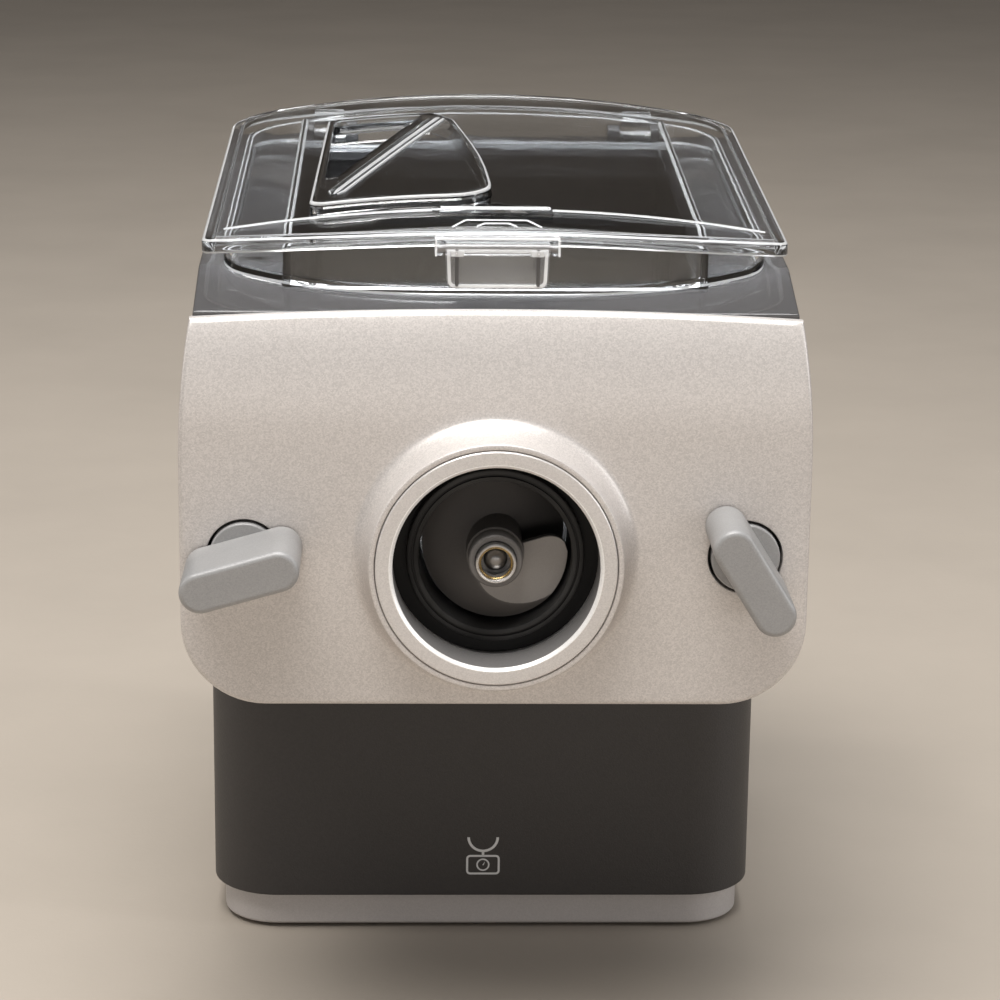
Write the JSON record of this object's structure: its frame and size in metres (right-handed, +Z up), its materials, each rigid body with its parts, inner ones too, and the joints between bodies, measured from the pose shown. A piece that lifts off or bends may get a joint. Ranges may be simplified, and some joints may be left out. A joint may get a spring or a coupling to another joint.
{
  "type": "electric pasta maker",
  "caption": "Electric pasta maker with an overhanging head, extrusion mouth, lock grips, clear lid over a mixing chamber, and a base with a storage drawer.",
  "frame": {"origin": "on the table, under the centre of the machine's bounding box", "axes": "+Z up; -Y is the front, where the extrusion mouth and the lock grips are; +X is to the viewer's right"},
  "size_m": [0.215, 0.349, 0.3153],
  "materials": {
    "panel_silver": "warm silver metallic paint with fine sparkle",
    "grip_grey": "satin moulded, cool silver grey",
    "charcoal_plastic": "fine matte grain",
    "smoke_plastic": "dark smoky gloss",
    "clear_plastic": "clear moulded",
    "black_plastic": "moulded",
    "black_gloss": "polished",
    "auger_grey": "dark warm grey, moulded",
    "pale_plastic": "moulded",
    "plinth_grey": "satin pale grey",
    "key_grey": "satin keys",
    "gear_white": "acetal",
    "display_glass": "tinted display window",
    "circuit_board": "lacquered board",
    "steel": "turned",
    "aluminium": "pressed plate",
    "brass": "cut",
    "rubber": "matte"
  },
  "bodies": {
    "casing": {"mixing_chamber": "clear_plastic", "shaft_seal": "rubber", "top_frame": "smoke_plastic", "head_housing": "charcoal_plastic", "rear_cap": "charcoal_plastic", "rear_cover": "charcoal_plastic", "cover_screws": "steel", "control_bezel": "black_gloss", "display_window": "display_glass", "display_module": "pale_plastic", "control_board": "circuit_board", "idler_axle": "steel", "motor": "steel", "gearbox_front_plate": "aluminium", "gearbox_rear_plate": "aluminium", "gearbox_posts": "steel", "front_bearing": "steel", "rear_bearing": "steel", "power_board": "circuit_board", "cord_gland": "rubber", "base_shell": "charcoal_plastic", "drawer_runners": "black_plastic", "base_plate": "charcoal_plastic", "load_cells": "aluminium", "plinth": "plinth_grey", "feet": "rubber", "lid_hinge_pins": "steel", "extrusion_tube": "black_plastic"},
    "front_panel": {"front_panel": "panel_silver", "collar_ring": "panel_silver", "knob_bushes": "black_plastic"},
    "left_lock": {"left_grip": "grip_grey", "left_cam": "steel"},
    "right_lock": {"right_grip": "grip_grey", "right_cam": "steel"},
    "lid": {"lid": "clear_plastic", "liquid_inlet": "clear_plastic", "latch_pin": "steel"},
    "lid_latch": {"lid_latch": "clear_plastic"},
    "drawer": {"drawer_front": "charcoal_plastic", "drawer_tray": "pale_plastic"},
    "drive": {"drive_shaft": "steel", "auger": "auger_grey", "auger_tip": "steel", "mixing_paddle": "auger_grey", "output_gear": "gear_white"},
    "idler": {"idler_gear": "gear_white"},
    "armature": {"armature_shaft": "steel", "motor_pinion": "brass", "cooling_fan": "black_plastic"},
    "power_button": {"power_button": "key_grey"},
    "program_button": {"program_button": "key_grey"},
    "weigh_button": {"weigh_button": "key_grey"},
    "start_button": {"start_button": "key_grey"}
  },
  "joints": [
    {"name": "panel_pull", "type": "slide", "parent": "casing", "child": "front_panel", "axis": [0, -1, 0], "range_m": [0, 0.06]},
    {"name": "left_lock_turn", "type": "hinge", "parent": "front_panel", "child": "left_lock", "pos_m": [-0.0855, -0.1415, 0.1885], "axis": [0, -1, 0], "range_deg": [-16, 74]},
    {"name": "right_lock_turn", "type": "hinge", "parent": "front_panel", "child": "right_lock", "pos_m": [0.0855, -0.1415, 0.1885], "axis": [0, -1, 0], "range_deg": [-32, 58]},
    {"name": "lid_hinge", "type": "hinge", "parent": "casing", "child": "lid", "pos_m": [0, 0.0995, 0.29649], "axis": [-1, 0, 0], "range_deg": [0, 95]},
    {"name": "latch_hinge", "type": "hinge", "parent": "lid", "child": "lid_latch", "pos_m": [0, -0.1284, 0.2925], "axis": [-1, 0, 0], "range_deg": [0, 75]},
    {"name": "drawer_slide", "type": "slide", "parent": "casing", "child": "drawer", "axis": [0, -1, 0], "range_m": [0, 0.085]},
    {"name": "drive_spin", "type": "hinge", "parent": "casing", "child": "drive", "pos_m": [0, 0, 0.1885], "axis": [0, 1, 0], "continuous": true},
    {"name": "idler_spin", "type": "hinge", "parent": "casing", "child": "idler", "pos_m": [0, 0, 0.1375], "axis": [0, 1, 0], "continuous": true},
    {"name": "motor_spin", "type": "hinge", "parent": "casing", "child": "armature", "pos_m": [0, 0, 0.0925], "axis": [0, 1, 0], "continuous": true},
    {"name": "power_press", "type": "slide", "parent": "casing", "child": "power_button", "axis": [-1, 0, 0], "range_m": [0, 0.0012], "stiffness_N_per_m": 600},
    {"name": "program_press", "type": "slide", "parent": "casing", "child": "program_button", "axis": [-1, 0, 0], "range_m": [0, 0.0012], "stiffness_N_per_m": 600},
    {"name": "weigh_press", "type": "slide", "parent": "casing", "child": "weigh_button", "axis": [-1, 0, 0], "range_m": [0, 0.0012], "stiffness_N_per_m": 600},
    {"name": "start_press", "type": "slide", "parent": "casing", "child": "start_button", "axis": [-1, 0, 0], "range_m": [0, 0.0012], "stiffness_N_per_m": 600}
  ],
  "couplings": [
    {"joint": "idler_spin", "follows": "drive_spin", "ratio": -2.7778},
    {"joint": "motor_spin", "follows": "drive_spin", "ratio": 9.7222}
  ]
}
